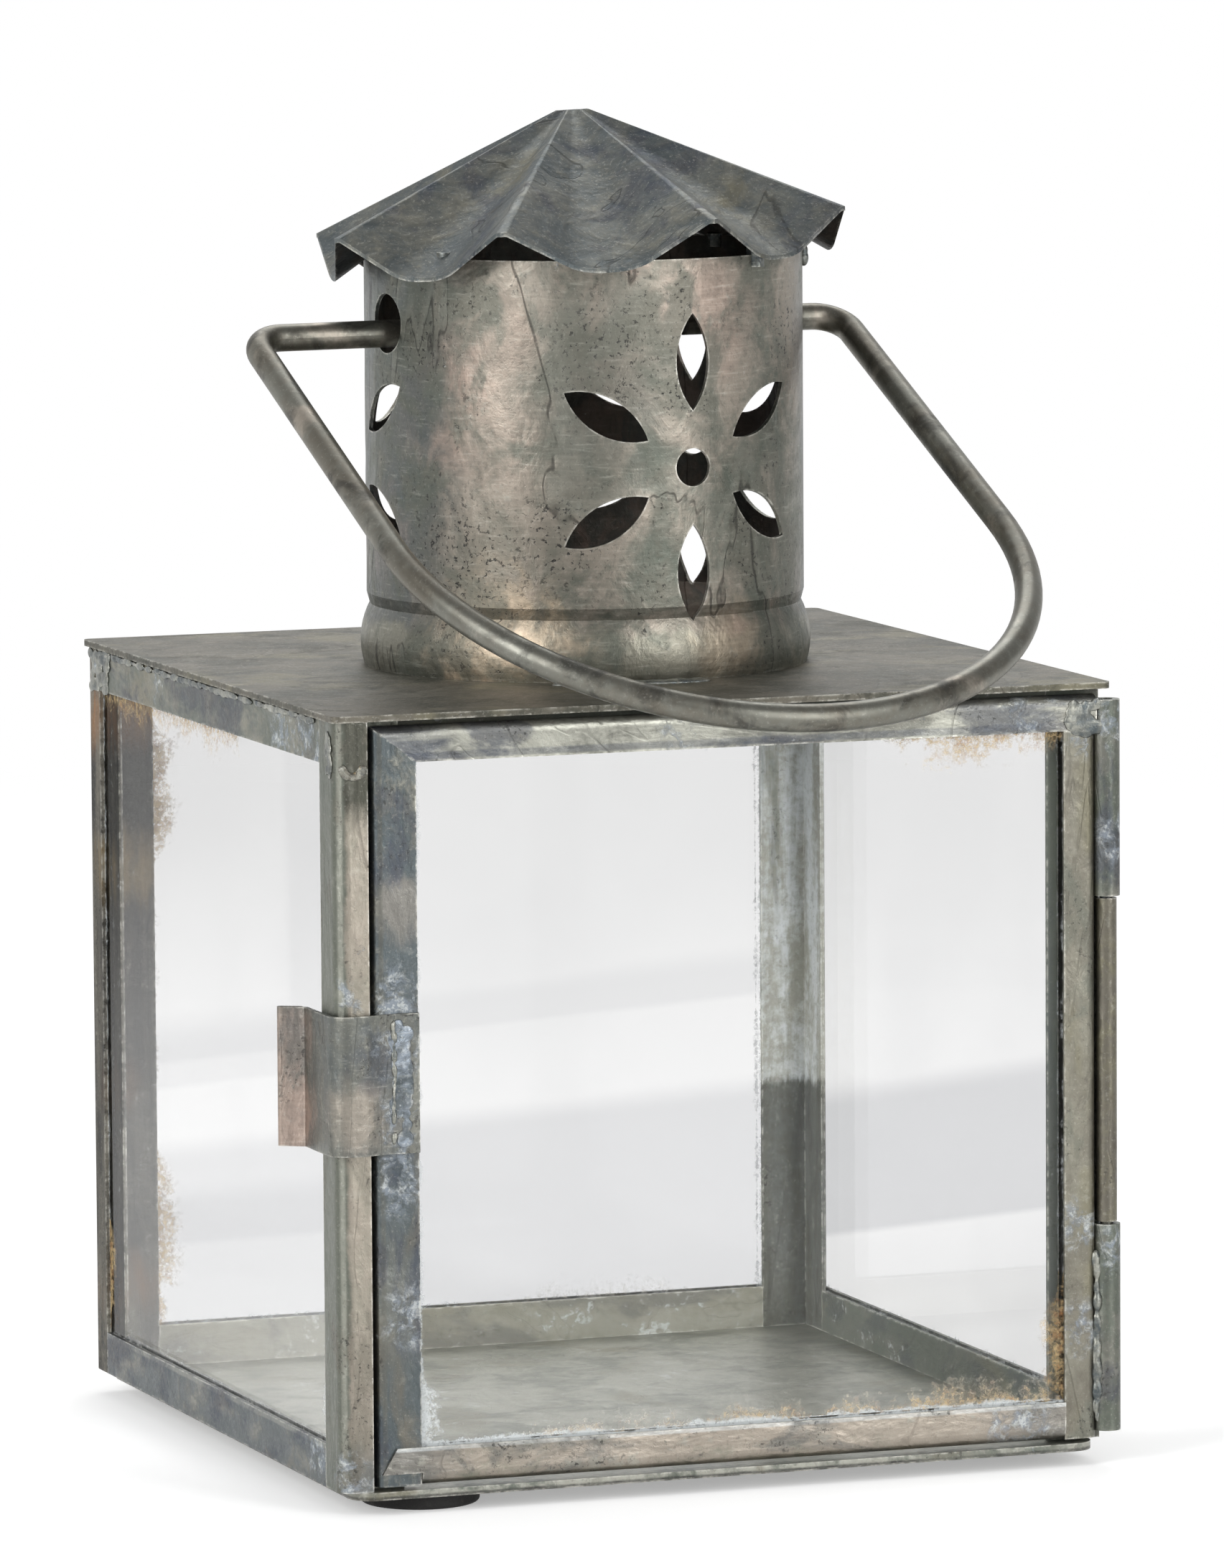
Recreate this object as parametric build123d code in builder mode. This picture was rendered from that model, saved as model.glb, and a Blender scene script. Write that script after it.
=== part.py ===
from build123d import *
from math import cos, degrees, radians, sin, tan
import os

# A square tin lantern with a hinged glass door, a punched chimney, a pleated cap and a wire bail.
# Millimetres. The origin is on the ground under the middle of the case. The door faces -Y.

# Case
case_half = 50.0
case_height = 94.4
sheet = 0.5
glass = 2.0
pad_height = 2.0
pad_radius = 7.3
pad_places = [(-37, -41), (39.5, -32), (-38, 38), (38, 38)]
base_height = 1.0
base_half = 48.4
base_front = -50.4
base_corner = 3.0
plate_height = 0.8
plate_half = 50.4
flue_radius = 26.5
rail_height = 5.3
outer_leg = 5.5
inner_leg = 9.0
corner_round = 1.8
plate_corner = 1.0
stop_height = 4.9
left_post_face = 4.1
right_post_face = 7.0

# Door
door_sheet = 0.4
door_thickness = 2.7
door_left = -45.4
door_right = 48.6
door_gap = 0.5
door_height = 92.4
door_clear = 0.3
left_stile = 5.6
right_stile = 4.4
top_rail = 4.4
bottom_rail = 4.7
lap_reach = 5.1
lap_slant = 1.9

# Hinge on the front right corner
hinge_x = 50.2
hinge_y = -49.0
pin_radius = 0.8
knuckle_radius = 1.3
sleeve_radius = 1.7
running_gap = 0.06
sleeve_bottom = 1.3
sleeve_low_top = 27.1
sleeve_high_bottom = 67.9
sleeve_top = 92.2
knuckle_gap = 0.3
solder_width = 0.9

# Latch clip on the left stile
clip_bottom = 41.2
clip_height = 17.0
clip_side = -50.75
clip_front = -51.0
clip_bend = 2.2
clip_root = -40.2
tab_length = 3.35
tab_splay = 28.5
tab_hem = 0.6

# Chimney
chimney_turn = 9.5
chimney_radius = 27.4
chimney_top = 146.3
neck_radius = 27.0
neck_height = 102.0
swage_radius = 28.05
swage_height = 99.0
foot_radius = 27.75
seam_turn = 189.5
seam_width = 5.0
seam_height = 40.0
seam_thick = 0.35
flower_count = 3
flower_height = 120.6
flower_eye = 2.35
petal_count = 6
petal_start = 7.0
petal_length = 12.0
petal_width = 4.5
bail_hole_radius = 3.7
bail_hole_height = 137.75
bail_hole_turn = 7.0

# Cap
flute_count = 8
cap_peak = 164.3
cap_place = (-1.2, 0.4)
cap_turn = 9.2
cap_lean = 3.6
cap_lean_side = -141.5
ridge_radius = 34.4
valley_radius = 31.0
ridge_slope = 0.415
valley_slope = 0.64
valley_fold = 0.70
cap_wall = 0.55
crown_depth = 0.9
ridge_round = 1.1
valley_round = 8.5
seat_gap = 0.05
tack_radius = 1.1
tack_foot = 1.5
tack_sink = 0.35

# Bail
wire_radius = 1.7
bail_turn = 5.0
bail_sag = 1.35
bail_tilt = 62.7
bail_half = 40.4
bail_shift = -4.8
bail_drop = 49.3
bail_flare = 0.4
bail_bend = 4.0
bail_end = 18.5

floor = pad_height + base_height
under_plate = floor + case_height - plate_height
wall_height = under_plate - floor
wall_depth = glass + 2 * sheet
door_front = -case_half
door_back = door_front + door_thickness
stop_front = door_back + door_clear
door_bottom = floor + door_gap
door_top = door_bottom + door_height
door_middle = (door_front + door_back) / 2

os.makedirs("parts", exist_ok=True)


def save(builder, name):
    builder.part.label = name
    export_step(builder.part, f"parts/{name}.step")


def around(azimuth, radius, height, slant=0):
    """A plane on a round wall, facing outwards. Azimuth 0 is the front, and it grows to the right."""
    out = Vector(sin(radians(azimuth)), -cos(radians(azimuth)), 0)
    level = Vector(cos(radians(azimuth)), sin(radians(azimuth)), 0)
    along = level * cos(radians(slant)) + Vector(0, 0, sin(radians(slant)))
    return Plane(origin=out * radius + Vector(0, 0, height), x_dir=along, z_dir=out)


# Base plate and pads
with BuildPart() as base:
    with BuildSketch(Plane.XY.offset(pad_height)):
        with Locations((0, (base_front + base_half) / 2)):
            RectangleRounded(2 * base_half, base_half - base_front, base_corner)
    extrude(amount=base_height)
save(base, "base_plate")

pad_names = ["pad_front_left", "pad_front_right", "pad_back_left", "pad_back_right"]
for pad_name, place in zip(pad_names, pad_places):
    with BuildPart() as pad:
        with BuildSketch():
            with Locations(place):
                Circle(pad_radius)
        extrude(amount=pad_height)
        fillet(pad.edges().group_by(Axis.Z)[0], radius=0.5)
    save(pad, pad_name)


def post(corner, front_leg, side_leg, front_web, side_web):
    """A folded corner post: an outer angle, and two inner strips that close on it behind the panes.

    The section is drawn for a front left corner at the origin and mirrored to its own corner.
    front_web and side_web are the depths of the inner strips behind the front and the side.
    """
    x, y = corner
    plane = Plane(origin=(x, y, floor), x_dir=(1, 0, 0), z_dir=(0, 0, 1))
    mid = sheet / 2
    to_x = -1 if x > 0 else 1
    to_y = -1 if y > 0 else 1
    with BuildPart() as one:
        with BuildSketch(plane):
            with BuildLine():
                FilletPolyline(
                    (to_x * front_leg, to_y * mid),
                    (to_x * mid, to_y * mid),
                    (to_x * mid, to_y * side_leg),
                    radius=corner_round - mid,
                )
            trace(line_width=sheet)
            with BuildLine():
                Line((to_x * mid, to_y * (front_web + mid)), (to_x * inner_leg, to_y * (front_web + mid)))
            trace(line_width=sheet)
            with BuildLine():
                Line((to_x * (side_web + mid), to_y * mid), (to_x * (side_web + mid), to_y * inner_leg))
            trace(line_width=sheet)
        extrude(amount=wall_height)
    return one


behind_pane = sheet + glass
door_depth = stop_front + case_half
left_front = post((-case_half, -case_half), left_post_face, outer_leg + sheet, door_depth, behind_pane)
save(left_front, "post_front_left")
for post_name, side in (("post_back_left", -1), ("post_back_right", 1)):
    back_post = post((side * case_half, case_half), outer_leg, outer_leg, behind_pane, behind_pane)
    save(back_post, post_name)

# The front right post stands behind the door, so its front is one plain leaf.
with BuildPart() as right_front:
    with BuildSketch(Plane.XY.offset(floor)):
        with BuildLine():
            Polyline(
                (case_half - right_post_face, stop_front + sheet / 2),
                (case_half - sheet / 2, stop_front + sheet / 2),
                (case_half - sheet / 2, stop_front + outer_leg),
            )
        trace(line_width=sheet)
        with BuildLine():
            inner_x = case_half - behind_pane - sheet / 2
            Line((inner_x, stop_front + sheet / 2), (inner_x, stop_front + inner_leg))
        trace(line_width=sheet)
    extrude(amount=wall_height)
save(right_front, "post_front_right")


def wall_rail(name, start, inward, up, length, start_cover, end_cover):
    """A channel along a pane's edge: outer leaf, web, and an inner leaf between the posts' strips."""
    inward, up = Vector(*inward), Vector(*up)
    along = inward.cross(up)
    plane = Plane(origin=start, x_dir=inward, z_dir=along)
    with BuildPart() as rail:
        with BuildSketch(plane):
            with BuildLine():
                Polyline((sheet / 2, rail_height), (sheet / 2, sheet / 2), (behind_pane, sheet / 2))
            trace(line_width=sheet)
        extrude(amount=length)
        with BuildSketch(plane.offset(start_cover)):
            with BuildLine():
                Line((behind_pane + sheet / 2, 0), (behind_pane + sheet / 2, rail_height))
            trace(line_width=sheet)
        extrude(amount=length - start_cover - end_cover)
    save(rail, name)


spare = inner_leg - outer_leg
back_end = case_half - outer_leg
left_end = -case_half + outer_leg + sheet
right_end = stop_front + outer_leg
for level, z, up in (("bottom", floor, 1), ("top", under_plate, -1)):
    # Each rail runs along inward x up, so a top rail starts at the other end of its wall.
    left_start, right_start, back_start = back_end, right_end, back_end
    left_covers, right_covers = (spare, spare - sheet), (spare, spare)
    if up < 0:
        left_start, right_start, back_start = left_end, back_end, -back_end
        left_covers = (spare - sheet, spare)
    wall_rail(f"{level}_rail_left", (-case_half, left_start, z), (1, 0, 0), (0, 0, up),
              back_end - left_end, *left_covers)
    wall_rail(f"{level}_rail_right", (case_half, right_start, z), (-1, 0, 0), (0, 0, up),
              back_end - right_end, *right_covers)
    wall_rail(f"{level}_rail_back", (back_start, case_half, z), (0, -1, 0), (0, 0, up),
              2 * back_end, spare, spare)

# A strip under the top plate, between the front posts, that stops the door
with BuildPart() as stop:
    stop_left = -case_half + inner_leg
    stop_right = case_half - right_post_face
    with BuildSketch(Plane.XY.offset(under_plate - stop_height)):
        with Locations(((stop_left + stop_right) / 2, stop_front + sheet / 2)):
            Rectangle(stop_right - stop_left, sheet)
    extrude(amount=stop_height)
save(stop, "door_stop")

# Panes of the three fixed walls
pane_inset = wall_depth
pane_height = wall_height - 2 * sheet
pane_front = stop_front + sheet
pane_mid = case_half - sheet - glass / 2
pane_back = case_half - pane_inset
side_pane_middle = (pane_front + pane_back) / 2
for pane_name, place, size in (
    ("pane_left", (-pane_mid, side_pane_middle), (glass, pane_back - pane_front)),
    ("pane_right", (pane_mid, side_pane_middle), (glass, pane_back - pane_front)),
    ("pane_back", (0, pane_mid), (2 * pane_back, glass)),
):
    with BuildPart() as pane:
        with BuildSketch(Plane.XY.offset(floor + sheet)):
            with Locations(place):
                Rectangle(*size)
        extrude(amount=pane_height)
    save(pane, pane_name)

# Top plate
with BuildPart() as top:
    with BuildSketch(Plane.XY.offset(under_plate)):
        RectangleRounded(2 * plate_half, 2 * plate_half, plate_corner)
        Circle(flue_radius, mode=Mode.SUBTRACT)
    extrude(amount=plate_height)
save(top, "top_plate")

# Cap: a pleated disc. Ridges and valleys run straight down from one peak. The panels fold at valley_fold,
# and rounding the folds brings the valleys up to valley_slope.
lean_out = Vector(sin(radians(cap_lean_side)), -cos(radians(cap_lean_side)), 0)
cap_up = lean_out * sin(radians(cap_lean)) + Vector(0, 0, cos(radians(cap_lean)))
cap_plane = Plane(origin=(*cap_place, floor + cap_peak), x_dir=Vector(0, 1, 0).cross(cap_up), z_dir=cap_up)
eave_depth = valley_radius * valley_slope + cap_wall


def star(plane, far, near, round_far=0.0, round_near=0.0):
    """A star of one point per flute, with its points and its inner corners rounded."""
    with BuildSketch(plane) as one:
        with BuildLine():
            points = []
            for half_flute in range(2 * flute_count):
                heading = radians(cap_turn + half_flute * 180 / flute_count)
                reach = near if half_flute % 2 else far
                points.append((reach * cos(heading), reach * sin(heading)))
            Polyline(*points, close=True)
        make_face()
        if round_far:
            fillet(one.vertices().sort_by_distance((0, 0, 0))[-flute_count:], radius=round_far)
            fillet(one.vertices().sort_by_distance((0, 0, 0))[:flute_count], radius=round_near)
    return one.sketch


def pleats(drop, lowest=eave_depth):
    """The pleated cone's two levels, so far below the outer surface."""
    levels = []
    for depth in (lowest, crown_depth):
        share = depth / eave_depth
        level = cap_plane.offset(-depth - drop)
        reaches = depth / ridge_slope, depth / valley_fold
        levels.append(star(level, *reaches, ridge_round * share, valley_round * share))
    return levels


with BuildPart() as cap:
    loft(sections=pleats(0), ruled=True)
    extrude(star(cap_plane.offset(-2 * eave_depth), ridge_radius, valley_radius),
            amount=2 * eave_depth, mode=Mode.INTERSECT)
    loft(sections=pleats(cap_wall), ruled=True, mode=Mode.SUBTRACT)
save(cap, "cap")

# The room that the cap takes above the chimney's rim, so that its lower valleys sit in shallow notches
rim_low = floor + chimney_top - 2.5
with BuildPart() as seat:
    with BuildSketch(Plane.XY.offset(rim_low)):
        Circle(chimney_radius + 1)
        Circle(chimney_radius - sheet - 1, mode=Mode.SUBTRACT)
    extrude(amount=8)
    loft(sections=pleats(cap_wall + seat_gap, 1.4 * eave_depth), ruled=True, mode=Mode.SUBTRACT)

# Chimney: a rolled sheet wall with a swaged foot and a lapped seam at the back, then punched
plate_top = floor + case_height
with BuildPart() as chimney:
    with BuildSketch(Plane.XZ):
        with BuildLine():
            rim = Line((chimney_radius - sheet / 2, floor + chimney_top),
                       (chimney_radius - sheet / 2, floor + neck_height + 1.5))
            crease = Line(rim @ 1, (neck_radius - sheet / 2, floor + neck_height))
            ThreePointArc(
                crease @ 1,
                (swage_radius - sheet / 2, floor + swage_height),
                (foot_radius - sheet / 2, plate_top),
            )
        trace(line_width=sheet)
    revolve(axis=Axis.Z)
    # The foot is trimmed level with the plate.
    with BuildSketch(Plane.XY.offset(plate_top)):
        Circle(swage_radius + 5)
    extrude(amount=-5, mode=Mode.SUBTRACT)
    with BuildSketch(Plane.XY.offset(floor + neck_height + 1.5)):
        Circle(chimney_radius + seam_thick)
        Circle(chimney_radius - sheet / 2, mode=Mode.SUBTRACT)
        seam = around(seam_turn, chimney_radius, 0)
        with Locations(Location((seam.origin.X, seam.origin.Y), seam_turn)):
            Rectangle(seam_width, 4 * sheet, mode=Mode.INTERSECT)
    extrude(amount=seam_height)
    petal_middle = petal_start + petal_length / 2
    for flower in range(flower_count):
        heading = chimney_turn + flower * 360 / flower_count
        with BuildSketch(around(heading, chimney_radius + 2, floor + flower_height)):
            Circle(flower_eye)
        extrude(amount=-5, mode=Mode.SUBTRACT)
        for petal in range(petal_count):
            angle = 90 + petal * 360 / petal_count
            across = petal_middle * cos(radians(angle))
            rise = petal_middle * sin(radians(angle))
            turn = degrees(across / chimney_radius)
            with BuildSketch(around(heading + turn, chimney_radius + 2, floor + flower_height + rise, angle)):
                with BuildLine():
                    tip_in, tip_out = (-petal_length / 2, 0), (petal_length / 2, 0)
                    ThreePointArc(tip_in, (0, petal_width / 2), tip_out)
                    ThreePointArc(tip_out, (0, -petal_width / 2), tip_in)
                make_face()
            extrude(amount=-5, mode=Mode.SUBTRACT)
    for side in (-90, 90):
        with BuildSketch(around(bail_hole_turn + side, chimney_radius + 2, floor + bail_hole_height)):
            Circle(bail_hole_radius)
        extrude(amount=-5, mode=Mode.SUBTRACT)
    add(seat.part, mode=Mode.SUBTRACT)
save(chimney, "chimney")

# Solder tacks between the chimney's rim and four of the cap's valleys
rim_radius = chimney_radius - sheet / 2
with BuildPart() as tacks:
    for quarter in range(4):
        heading = cap_turn + 180 / flute_count + quarter * 90
        out = Vector(*around(heading, rim_radius, 0).origin) - Vector(*cap_place, 0)
        lean = tan(radians(cap_lean)) * out.dot(lean_out)
        underside = floor + cap_peak - out.length * valley_slope - cap_wall - lean
        foot = floor + chimney_top - tack_foot
        spot = around(heading, rim_radius, foot)
        with BuildSketch(Plane(origin=spot.origin, x_dir=spot.x_dir)):
            Circle(tack_radius)
        extrude(amount=underside + tack_sink - foot)
save(tacks, "cap_solder")

# Hinge: a wire pin in three knuckles. The middle one is held on the front right post.
hinge_plane = Plane(origin=(hinge_x, hinge_y, floor), x_dir=(1, 0, 0), z_dir=(0, 0, 1))


def tube(outer, inner, bottom, top):
    with BuildPart() as one:
        with BuildSketch(hinge_plane.offset(bottom)):
            Circle(outer)
            Circle(inner, mode=Mode.SUBTRACT)
        extrude(amount=top - bottom)
    return one


with BuildPart() as pin:
    with BuildSketch(hinge_plane.offset(sleeve_bottom + knuckle_gap)):
        Circle(pin_radius)
    extrude(amount=sleeve_top - sleeve_bottom - 2 * knuckle_gap)
save(pin, "hinge_pin")

knuckle_bottom = sleeve_low_top + knuckle_gap
knuckle_top = sleeve_high_bottom - knuckle_gap
save(tube(knuckle_radius, pin_radius, knuckle_bottom, knuckle_top), "hinge_knuckle")
save(tube(sleeve_radius, pin_radius + running_gap, sleeve_bottom, sleeve_low_top), "hinge_sleeve_lower")
save(tube(sleeve_radius, pin_radius + running_gap, sleeve_high_bottom, sleeve_top), "hinge_sleeve_upper")

# The solder fills the gap from the post's front leaf to the knuckle.
with BuildPart() as bridge:
    with BuildSketch(hinge_plane.offset(knuckle_bottom)):
        reach = stop_front - hinge_y
        with BuildLine():
            inner_side = case_half - solder_width - hinge_x
            Polyline(
                (case_half - hinge_x, reach),
                (inner_side, reach),
                (inner_side, 0),
                (case_half - hinge_x, 0),
                close=True,
            )
        make_face()
        Circle(knuckle_radius, mode=Mode.SUBTRACT)
    extrude(amount=knuckle_top - knuckle_bottom)
save(bridge, "hinge_solder")


def channel(plane, depth, thickness, length):
    """A folded door channel. Its round fold is at the plane's origin, its leaves run along the plane's X."""
    with BuildPart() as one:
        with BuildSketch(plane):
            with BuildLine():
                fold = thickness / 2
                leaf = (thickness - door_sheet) / 2
                near_leaf = Line((depth, -leaf), (fold, -leaf))
                bend = ThreePointArc(near_leaf @ 1, (fold - leaf, 0), (fold, leaf))
                Line(bend @ 1, (depth, leaf))
            trace(line_width=door_sheet)
        extrude(amount=length)
    return one.part


# Door: the top rail and the left stile meet on a mitre, the right stile stands under the top rail.
mitre = Plane(
    origin=(door_left, door_middle, door_top),
    x_dir=(0, 1, 0),
    z_dir=Vector(top_rail, 0, left_stile),
)
with BuildPart() as stile_left:
    stile_plane = Plane((door_left, door_middle, door_bottom), x_dir=(1, 0, 0))
    add(channel(stile_plane, left_stile, door_thickness, door_height))
    split(bisect_by=mitre, keep=Keep.BOTTOM)
save(stile_left, "door_stile_left")

with BuildPart() as rail_top:
    rail_plane = Plane((door_left, door_middle, door_top), x_dir=(0, 0, -1), z_dir=(1, 0, 0))
    add(channel(rail_plane, top_rail, door_thickness, door_right - door_left))
    split(bisect_by=mitre, keep=Keep.TOP)
save(rail_top, "door_rail_top")

with BuildPart() as stile_right:
    stile_plane = Plane((door_right, door_middle, door_bottom), x_dir=(-1, 0, 0))
    add(channel(stile_plane, right_stile, door_thickness, door_height - top_rail))
save(stile_right, "door_stile_right")

# The bottom rail's front leaf is one sheet further out, and its slanted end laps over the left stile.
rail_start = door_left + left_stile
rail_end = door_right - right_stile
rail_thickness = door_thickness + door_sheet
rail_front = door_back - rail_thickness
with BuildPart() as rail_bottom:
    rail_middle = door_back - rail_thickness / 2
    rail_plane = Plane((rail_start, rail_middle, door_bottom), x_dir=(0, 0, 1), z_dir=(1, 0, 0))
    add(channel(rail_plane, bottom_rail, rail_thickness, rail_end - rail_start))
    with BuildSketch(Plane.XZ.offset(-rail_front)):
        with BuildLine():
            lap_bottom = door_bottom + rail_thickness / 2
            lap_top = door_bottom + bottom_rail
            Polyline(
                (rail_start, lap_bottom),
                (rail_start, lap_top),
                (rail_start - lap_reach + lap_slant, lap_top),
                (rail_start - lap_reach, lap_bottom),
                close=True,
            )
        make_face()
    extrude(amount=-door_sheet)
save(rail_bottom, "door_rail_bottom")

with BuildPart() as door_pane:
    pane_left = door_left + door_thickness / 2
    pane_right = door_right - door_thickness / 2
    pane_bottom = door_bottom + rail_thickness / 2
    pane_top = door_top - door_thickness / 2
    with BuildSketch(Plane.XZ.offset(-door_front - door_sheet)):
        with Locations(((pane_left + pane_right) / 2, (pane_bottom + pane_top) / 2)):
            Rectangle(pane_right - pane_left, pane_top - pane_bottom)
    extrude(amount=-(door_thickness - 2 * door_sheet))
save(door_pane, "door_pane")

# Latch clip: a sprung strap from the left stile round the corner, its end turned out as a hemmed finger tab
with BuildPart() as clip:
    with BuildSketch(Plane.XY.offset(floor + clip_bottom)):
        with BuildLine():
            seat_y = door_front - sheet / 2
            splay = Vector(-cos(radians(tab_splay)), sin(radians(tab_splay)))
            behind = Vector(splay.Y, -splay.X) * tab_hem
            root = Vector(clip_side, clip_root)
            tip = root + splay * tab_length
            FilletPolyline(
                (rail_start, seat_y),
                (rail_start - 4.4, seat_y),
                (rail_start - 7.2, clip_front),
                (clip_side, clip_front),
                root,
                tip,
                tip + behind,
                root + splay * tab_hem + behind,
                radius=[4.0, 3.0, clip_bend, 0.6, 0.29, 0.29],
            )
        trace(line_width=sheet)
    extrude(amount=clip_height)
save(clip, "latch_clip")

# Bail: a wire bow on an axis through the chimney's two holes, drawn in its own tilted plane
axis_dir = Vector(cos(radians(bail_turn)), sin(radians(bail_turn)), 0)
forward = Vector(sin(radians(bail_turn)), -cos(radians(bail_turn)), 0)
hang = forward * sin(radians(bail_tilt)) - Vector(0, 0, cos(radians(bail_tilt)))
bail_origin = axis_dir * bail_shift + Vector(0, 0, floor + bail_hole_height - bail_sag)
bail_plane = Plane(origin=bail_origin, x_dir=axis_dir, z_dir=axis_dir.cross(hang))
bow = bail_half * cos(radians(bail_flare)) + bail_drop * sin(radians(bail_flare))
with BuildPart() as bail:
    with BuildLine(bail_plane) as wire:
        meet_x = bow * cos(radians(bail_flare))
        meet_y = bail_drop - bow * sin(radians(bail_flare))
        left_leg = FilletPolyline((-bail_end, 0), (-bail_half, 0), (-meet_x, meet_y), radius=bail_bend)
        arch = ThreePointArc(left_leg @ 1, (0, bail_drop + bow), (meet_x, meet_y))
        FilletPolyline(arch @ 1, (bail_half, 0), (bail_end, 0), radius=bail_bend)
    with BuildSketch(Plane(origin=left_leg @ 0, z_dir=left_leg % 0)):
        Circle(wire_radius)
    sweep()
save(bail, "bail")
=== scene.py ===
import math
import random

import bpy
from mathutils import Matrix, Vector


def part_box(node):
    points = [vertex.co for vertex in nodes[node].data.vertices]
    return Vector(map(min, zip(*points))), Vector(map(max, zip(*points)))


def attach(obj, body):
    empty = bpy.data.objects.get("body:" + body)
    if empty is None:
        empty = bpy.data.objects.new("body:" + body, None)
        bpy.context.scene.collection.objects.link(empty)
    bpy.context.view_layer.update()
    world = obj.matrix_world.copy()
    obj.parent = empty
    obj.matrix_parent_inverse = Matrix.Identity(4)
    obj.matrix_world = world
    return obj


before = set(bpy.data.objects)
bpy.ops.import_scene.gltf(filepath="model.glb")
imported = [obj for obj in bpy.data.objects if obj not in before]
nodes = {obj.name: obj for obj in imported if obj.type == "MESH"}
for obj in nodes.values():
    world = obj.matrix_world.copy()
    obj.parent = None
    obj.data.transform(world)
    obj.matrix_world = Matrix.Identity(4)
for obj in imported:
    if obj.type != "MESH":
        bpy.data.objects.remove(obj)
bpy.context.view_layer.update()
scene = bpy.context.scene
bpy.ops.object.select_all(action="DESELECT")
print("frame loaded:", len(nodes), "nodes")

# camera at the photograph's place

cameraSettings = {
    "place": (-0.46477, -1.28956, 0.23982),
    "azimuth": -19.953,
    "elevation": 6.580,
    "roll": -0.385,
    "lens": 252.27,
    "sensor": 36.0,
}


def buildCamera(settings):
    azimuth, elevation, roll = (math.radians(settings[k]) for k in ("azimuth", "elevation", "roll"))
    back = Vector((math.sin(azimuth) * math.cos(elevation), -math.cos(azimuth) * math.cos(elevation),
                   math.sin(elevation)))
    right = (-back).cross(Vector((0, 0, 1))).normalized()
    up = right.cross(-back)
    rolledRight = right * math.cos(roll) + up * math.sin(roll)
    rolledUp = up * math.cos(roll) - right * math.sin(roll)
    turn = Matrix((rolledRight, rolledUp, back)).transposed().to_4x4()
    data = bpy.data.cameras.new("photoCamera")
    data.lens = settings["lens"]
    data.sensor_width = settings["sensor"]
    camera = bpy.data.objects.new("photoCamera", data)
    scene.collection.objects.link(camera)
    camera.matrix_world = Matrix.Translation(settings["place"]) @ turn
    scene.camera = camera


buildCamera(cameraSettings)
print("camera set")


# shader maths: a wrapped socket, so that masks can be written as plain sums


class Sock:
    def __init__(self, tree, socket):
        self.tree = tree
        self.socket = socket

    def node(self, kind, settings=None, inputs=None, output=0):
        made = self.tree.nodes.new(kind)
        for key, value in (settings or {}).items():
            setattr(made, key, value)
        for key, value in (inputs or {}).items():
            if isinstance(value, Sock):
                self.tree.links.new(value.socket, made.inputs[key])
            else:
                made.inputs[key].default_value = value
        return Sock(self.tree, made.outputs[output])

    def maths(self, operation, first, second):
        return self.node("ShaderNodeMath", {"operation": operation}, {0: first, 1: second})

    def __add__(self, other):
        return self.maths("ADD", self, other)

    __radd__ = __add__

    def __mul__(self, other):
        return self.maths("MULTIPLY", self, other)

    __rmul__ = __mul__

    def __sub__(self, other):
        return self.maths("SUBTRACT", self, other)

    def __rsub__(self, other):
        return self.maths("SUBTRACT", other, self)

    def __abs__(self):
        return self.maths("ABSOLUTE", self, 0.0)

    def most(self, other):
        return self.maths("MAXIMUM", self, other)

    def step(self, low, high):
        return self.node("ShaderNodeMapRange", {"interpolation_type": "SMOOTHSTEP", "clamp": True},
                         {"Value": self, "From Min": low, "From Max": high, "To Min": 0.0, "To Max": 1.0})

    def mix(self, first, second):
        paint = [(*c, 1.0) if isinstance(c, tuple) else c for c in (first, second)]
        return self.node("ShaderNodeMix", {"data_type": "RGBA", "clamp_factor": True},
                         {0: self, 6: paint[0], 7: paint[1]}, 2)  # the sockets for colours

    def noise(self, scale, detail=4.0, rough=0.55, warp=0.0):
        return self.node("ShaderNodeTexNoise", {}, {"Vector": self, "Scale": scale, "Detail": detail,
                                                    "Roughness": rough, "Distortion": warp})

    def moved(self, shift=(0, 0, 0), scale=(1, 1, 1)):
        return self.node("ShaderNodeMapping", {}, {"Vector": self, "Location": shift, "Scale": scale})

    def axes(self):
        return [self.node("ShaderNodeSeparateXYZ", {}, {0: self}, k) for k in range(3)]

    def path(self, *kinds):
        return [self.node("ShaderNodeLightPath", {}, {}, f"Is {kind} Ray") for kind in kinds]

    def facing(self, kind):
        return self.node("ShaderNodeNewGeometry", {}, {}, kind)

    def near(self, point):
        return self.node("ShaderNodeVectorMath", {"operation": "DISTANCE"}, {0: self, 1: point}, "Value")


def startMaterial(name):
    material = bpy.data.materials.new(name)
    material.use_nodes = True
    tree = material.node_tree
    tree.nodes.clear()
    place = Sock(tree, tree.nodes.new("ShaderNodeTexCoord").outputs["Object"])
    return material, place


def endMaterial(place, surface):
    out = place.tree.nodes.new("ShaderNodeOutputMaterial")
    place.tree.links.new(surface.socket, out.inputs["Surface"])


def linear(red, green, blue):
    # screen colour, 0 to 255, as light
    shares = [value / 255 for value in (red, green, blue)]
    return tuple(((v + 0.055) / 1.055) ** 2.4 if v > 0.04045 else v / 12.92 for v in shares)


# aged tin: two tones in clouds, zones, stripes and spots of other tones (a few are painted highlights and
# painted shade), stains, brush marks, specks, dried flux lines, candle soot with painted shade, crust and
# rubbed edges

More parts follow.
